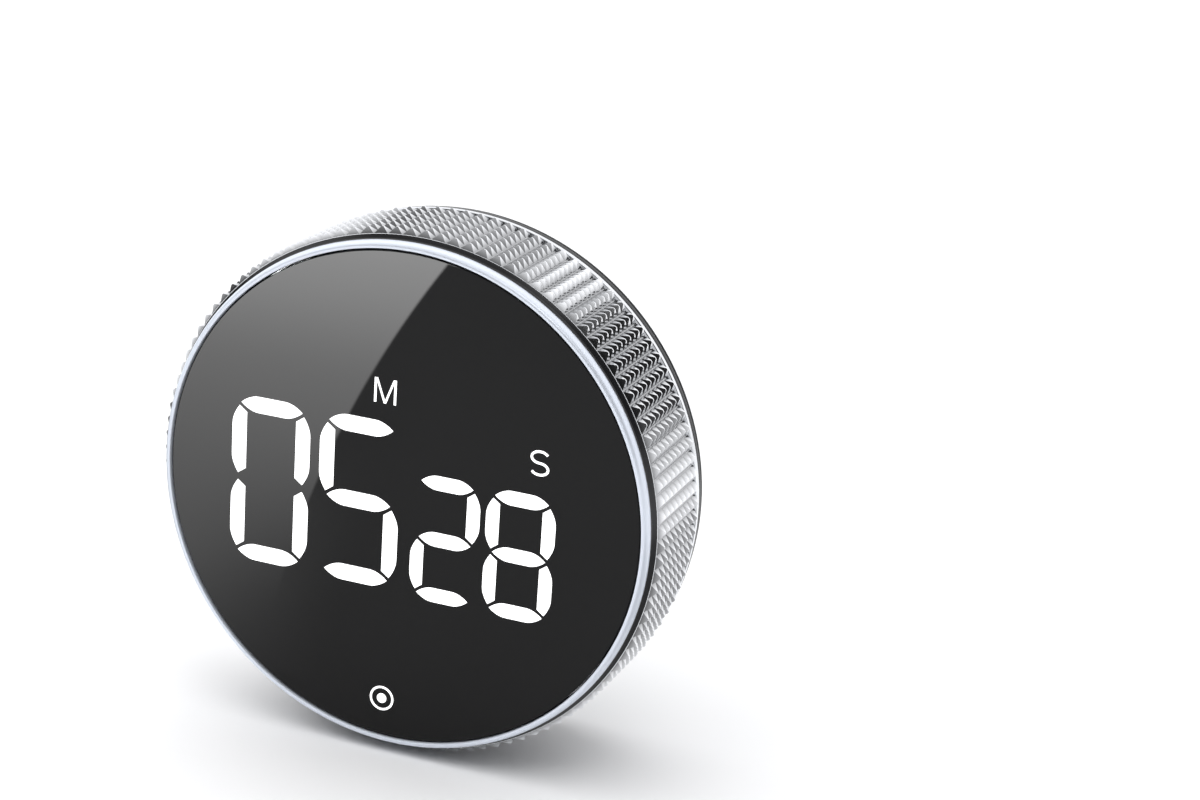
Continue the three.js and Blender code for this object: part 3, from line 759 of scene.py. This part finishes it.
knob = piece("volume_thumb", *merge(
    knob_part(SLIDE_HALF, 22.0, 22.85, SLIDE_BELOW, SLIDE_ABOVE, 0.12, 0.3),
    knob_part(THUMB_HALF, 22.6, 24.25, THUMB_HALF_Z, THUMB_HALF_Z, 0.2, 0.3),
    knob_part(STEM_HALF, 12.2, 22.2, STEM_HALF, STEM_HALF, 0.1, 0.2),
), knob_grey, "volume", "grey_plastic", weighted=True)
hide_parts("volume_knob")


def speaker(cx, cz, waves):
    """Small loudspeaker outline with one curved bar for each step of loudness."""
    back, neck, mouth, narrow, wide = 0.9, 0.55, 0.1, 0.35, 0.85
    horn = [(cx + back, cz - narrow), (cx + neck, cz - narrow), (cx + mouth, cz - wide),
            (cx + mouth, cz + wide), (cx + neck, cz + narrow), (cx + back, cz + narrow)]
    arcs = [circle(0.55 + 0.42 * wave, cx - 0.05, cz, 8, TAU * 3 / 8, TAU / 4) for wave in range(waves)]
    outlines = [horn, *(stroke(arc, WAVE_WIDTH) for arc in arcs)]
    return [sheet(outline, MARK_FRONT, MARK_TOP) for outline in outlines]


marks = speaker(KNOB_X, 6.6, 0) + speaker(33.4, -0.3, 1) + speaker(KNOB_X, -7.2, 3)
piece("volume_marks", *merge(*marks), mark_grey, "housing", "grey_plastic", flat=True)

# ---------------------------------------------------------------- node helpers for floor and lights

def link_math(tree, operation, *sources):
    node = tree.nodes.new("ShaderNodeMath")
    node.operation = operation
    for socket, source in zip(node.inputs, sources):
        if isinstance(source, (int, float)):
            socket.default_value = source
        else:
            tree.links.new(source, socket)
    return node.outputs["Value"]


def smooth(tree, source, low, high, to_low=0.0, to_high=1.0):
    """An eased change from one level to another between two values of the source."""
    node = tree.nodes.new("ShaderNodeMapRange")
    node.interpolation_type = "SMOOTHSTEP"
    for socket, value in zip(list(node.inputs)[1:5], (low, high, to_low, to_high)):
        socket.default_value = value
    tree.links.new(source, node.inputs["Value"])
    return node.outputs["Result"]


def distance_from(tree, source, centre):
    node = tree.nodes.new("ShaderNodeVectorMath")
    node.operation = "DISTANCE"
    node.inputs[1].default_value = centre
    tree.links.new(source, node.inputs[0])
    return node.outputs["Value"]


def scaled(tree, source, factor):
    node = tree.nodes.new("ShaderNodeVectorMath")
    node.operation = "SCALE"
    tree.links.new(source, node.inputs[0])
    tree.links.new(factor, node.inputs["Scale"])
    return node.outputs["Vector"]


# ---------------------------------------------------------------- floor

FLOOR_REACH = 6.0


def shade_in_mirrors(material, centre, near, far, level):
    """The metal mirrors a darker patch of floor beside the timer than the camera sees there.

    The patch has the given level up to a distance near from its centre and fades out at far, in metres.
    """
    tree = material.node_tree
    colour = tree.nodes["Principled BSDF"].inputs["Base Color"]
    plain = colour.links[0].from_socket
    coords = tree.nodes.new("ShaderNodeTexCoord")
    away = distance_from(tree, coords.outputs["Object"], centre)
    dim = smooth(tree, away, near, far, 1 - level, 0.0)
    mirrored = tree.nodes.new("ShaderNodeLightPath").outputs["Is Glossy Ray"]
    kept = link_math(tree, "SUBTRACT", 1.0, link_math(tree, "MULTIPLY", dim, mirrored))
    tree.links.new(scaled(tree, plain, kept), colour)


floor_look = finish("studio_floor", (0.86, 0.86, 0.865), vary=0.01, rough=(0.6, 0.7), patch=3)
shade_in_mirrors(floor_look, (0.107, -0.036, FLOOR_Z), near=0.045, far=0.085, level=0.33)
shade_in_mirrors(floor_look, (-0.150, 0.045, FLOOR_Z), near=0.100, far=0.125, level=0.12)
floor_mesh = bpy.data.meshes.new("floor")
floor_corners = [(x * FLOOR_REACH, y * FLOOR_REACH, FLOOR_Z) for x, y in ((-1, -1), (1, -1), (1, 1), (-1, 1))]
floor_mesh.from_pydata(floor_corners, [], [(0, 1, 2, 3)])
floor_mesh.materials.append(floor_look)
floor = bpy.data.objects.new("floor", floor_mesh)
bpy.context.scene.collection.objects.link(floor)

# ---------------------------------------------------------------- surroundings that the metal mirrors

BACK_LEVEL, CEILING_LEVEL, HORIZON_LEVEL, DARKEST = 1.15, 0.45, 0.8, 0.02
# Round soft lights: direction, the angles in degrees where the edge starts and ends, and level
SOFT_LIGHTS = (((-0.80, -0.08, 0.58), 6, 26, 1.15), ((0.33, -0.42, 0.845), 7, 20, 2.0))


def studio_dome(tree):
    """White behind the timer and a dim room in front with soft lights, for the metal to reflect."""
    coords = tree.nodes.new("ShaderNodeTexCoord")
    split = tree.nodes.new("ShaderNodeSeparateXYZ")
    tree.links.new(coords.outputs["Generated"], split.inputs["Vector"])

    def soft_light(direction, inner, outer, level):
        along = tree.nodes.new("ShaderNodeVectorMath")
        along.operation = "DOT_PRODUCT"
        along.inputs[1].default_value = Vector(direction).normalized()
        tree.links.new(coords.outputs["Generated"], along.inputs[0])
        edge_end, edge_start = math.cos(math.radians(outer)), math.cos(math.radians(inner))
        return smooth(tree, along.outputs["Value"], edge_end, edge_start, 0.0, level)

    bright = smooth(tree, split.outputs["Y"], -0.05, 0.3, 0.0, BACK_LEVEL)
    ceiling = smooth(tree, split.outputs["Z"], 0.62, 0.88, 0.0, CEILING_LEVEL)
    horizon = smooth(tree, split.outputs["Z"], 0.22, 0.04, 0.0, HORIZON_LEVEL)
    for level in (*(soft_light(*light) for light in SOFT_LIGHTS), ceiling, horizon, DARKEST):
        bright = link_math(tree, "MAXIMUM", bright, level)
    direct = tree.nodes.new("ShaderNodeLightPath").outputs["Is Camera Ray"]
    background = tree.nodes["Background"]
    background.inputs["Color"].default_value = (0.98, 0.985, 1.0, 1)
    tree.links.new(link_math(tree, "MAXIMUM", bright, direct), background.inputs["Strength"])


world = bpy.data.worlds.new("studio")
bpy.context.scene.world = world
world.use_nodes = True
studio_dome(world.node_tree)

# ---------------------------------------------------------------- lights

# The lens softbox, in metres and watts: it stands upright across the dial axis, and its right edge is an arc
SOFTBOX_Y = -0.0393
SOFTBOX_PLACE, SOFTBOX_SIZE, SOFTBOX_POWER = (-0.026, SOFTBOX_Y, -0.001), (0.060, 0.074), 0.089
EDGE_CENTRE, EDGE_R = (0.1343, SOFTBOX_Y, -0.0643), 0.1654
# The edge is this sharp at the top, this soft at the bottom, and changes over between two heights
CRISP, MELTED, MELT_Z = 0.0003, (-0.012, 0.022), (-0.030, 0.004)
# The light fades downward, gains a little at the crest and goes out at the foot
FADE_RATE, CREST_Z, CREST_LEVEL, FOOT_Z = 27.0, (0.010, 0.026), 1.22, (-0.055, -0.018)


def area_light(name, place, size, power, facing):
    """A rectangular light that faces along -Z of the rotation given."""
    data = bpy.data.lights.new(name, "AREA")
    data.shape = "RECTANGLE"
    data.size, data.size_y = size
    data.energy = power
    lamp = bpy.data.objects.new(name, data)
    bpy.context.scene.collection.objects.link(lamp)
    lamp.matrix_world = Matrix.Translation(place) @ facing.to_4x4()
    lamp.visible_camera = False
    return lamp


def room_light(name, place, size, power):
    """A light that faces the row frame's origin and that no surface mirrors."""
    facing = (-Vector(place)).to_track_quat("-Z", "Y").to_matrix()
    area_light(name, place, size, power, facing).visible_glossy = False


def grade_softbox(tree):
    """Shapes the softbox's strength: the curved edge, the fade, the crest and the foot."""
    spot = tree.nodes.new("ShaderNodeNewGeometry").outputs["Position"]
    split = tree.nodes.new("ShaderNodeSeparateXYZ")
    tree.links.new(spot, split.inputs["Vector"])
    height = split.outputs["Z"]
    from_centre = distance_from(tree, spot, EDGE_CENTRE)
    crisp = smooth(tree, from_centre, EDGE_R - CRISP, EDGE_R + CRISP)
    melted = smooth(tree, from_centre, EDGE_R + MELTED[0], EDGE_R + MELTED[1])
    melt = smooth(tree, height, *MELT_Z, 1.0, 0.0)
    inside = link_math(tree, "ADD",
                       link_math(tree, "MULTIPLY", crisp, link_math(tree, "SUBTRACT", 1.0, melt)),
                       link_math(tree, "MULTIPLY", melted, melt))
    fade = link_math(tree, "EXPONENT", link_math(tree, "MULTIPLY", height, FADE_RATE))
    crest = smooth(tree, height, *CREST_Z, 1.0, CREST_LEVEL)
    foot = smooth(tree, height, *FOOT_Z)
    strength = link_math(tree, "MULTIPLY", link_math(tree, "MULTIPLY", inside, fade),
                         link_math(tree, "MULTIPLY", foot, crest))
    tree.links.new(strength, tree.nodes["Emission"].inputs["Strength"])


room_light("key", (-0.55, -0.45, 0.7), (0.8, 0.8), 1.5)
room_light("overhead", (-0.3, -0.3, 1.6), (2.4, 2.4), 29.0)
toward_lens = Matrix(((1, 0, 0), (0, 0, -1), (0, 1, 0)))
softbox = area_light("lens_softbox", SOFTBOX_PLACE, SOFTBOX_SIZE, SOFTBOX_POWER, toward_lens)
softbox.visible_diffuse = False
softbox.data.use_nodes = True
grade_softbox(softbox.data.node_tree)
# Only the lens mirrors the softbox
only_lens = bpy.data.collections.new("lens_strip_receivers")
only_lens.objects.link(lens)
softbox.light_linking.receiver_collection = only_lens

# ---------------------------------------------------------------- camera

# In mm and radians. The digits are level in the row frame and the timer is seen a little turned about its
# own axis, so the camera takes that turn. CENTRE is the middle of the front plane as the camera sees it,
# with Y level and away from the camera.
SENSOR, FOCAL = 36, 78
PITCH, YAW, ROLL = math.radians(16.89), math.radians(21.32), math.radians(4.13)
CENTRE = Vector((-28.5, 345.4, -119.9))


def camera_matrix():
    forward = Vector((math.sin(YAW), math.cos(YAW), 0))
    level = Vector((math.cos(YAW), -math.sin(YAW), 0))
    up = Vector((0, 0, 1))
    # Rows are the row frame's axes, in the upright frame of the camera's stand
    to_row = Matrix((
        level * math.cos(ROLL) - up * math.sin(ROLL), forward, up * math.cos(ROLL) + level * math.sin(ROLL),
    ))
    place = (to_row @ -CENTRE - Vector((0, DEPTH, 0))) * MM
    right = to_row @ Vector((1, 0, 0))
    ahead = to_row @ Vector((0, math.cos(PITCH), -math.sin(PITCH)))
    above = to_row @ Vector((0, math.sin(PITCH), math.cos(PITCH)))
    return Matrix.Translation(place) @ Matrix((right, above, -ahead)).transposed().to_4x4()


camera_data = bpy.data.cameras.new("camera")
camera_data.sensor_width = SENSOR
camera_data.lens = FOCAL
camera_data.clip_start = 0.01
camera = bpy.data.objects.new("camera", camera_data)
bpy.context.scene.collection.objects.link(camera)
camera.matrix_world = camera_matrix()
bpy.context.scene.camera = camera
bpy.context.scene.view_settings.view_transform = "Standard"
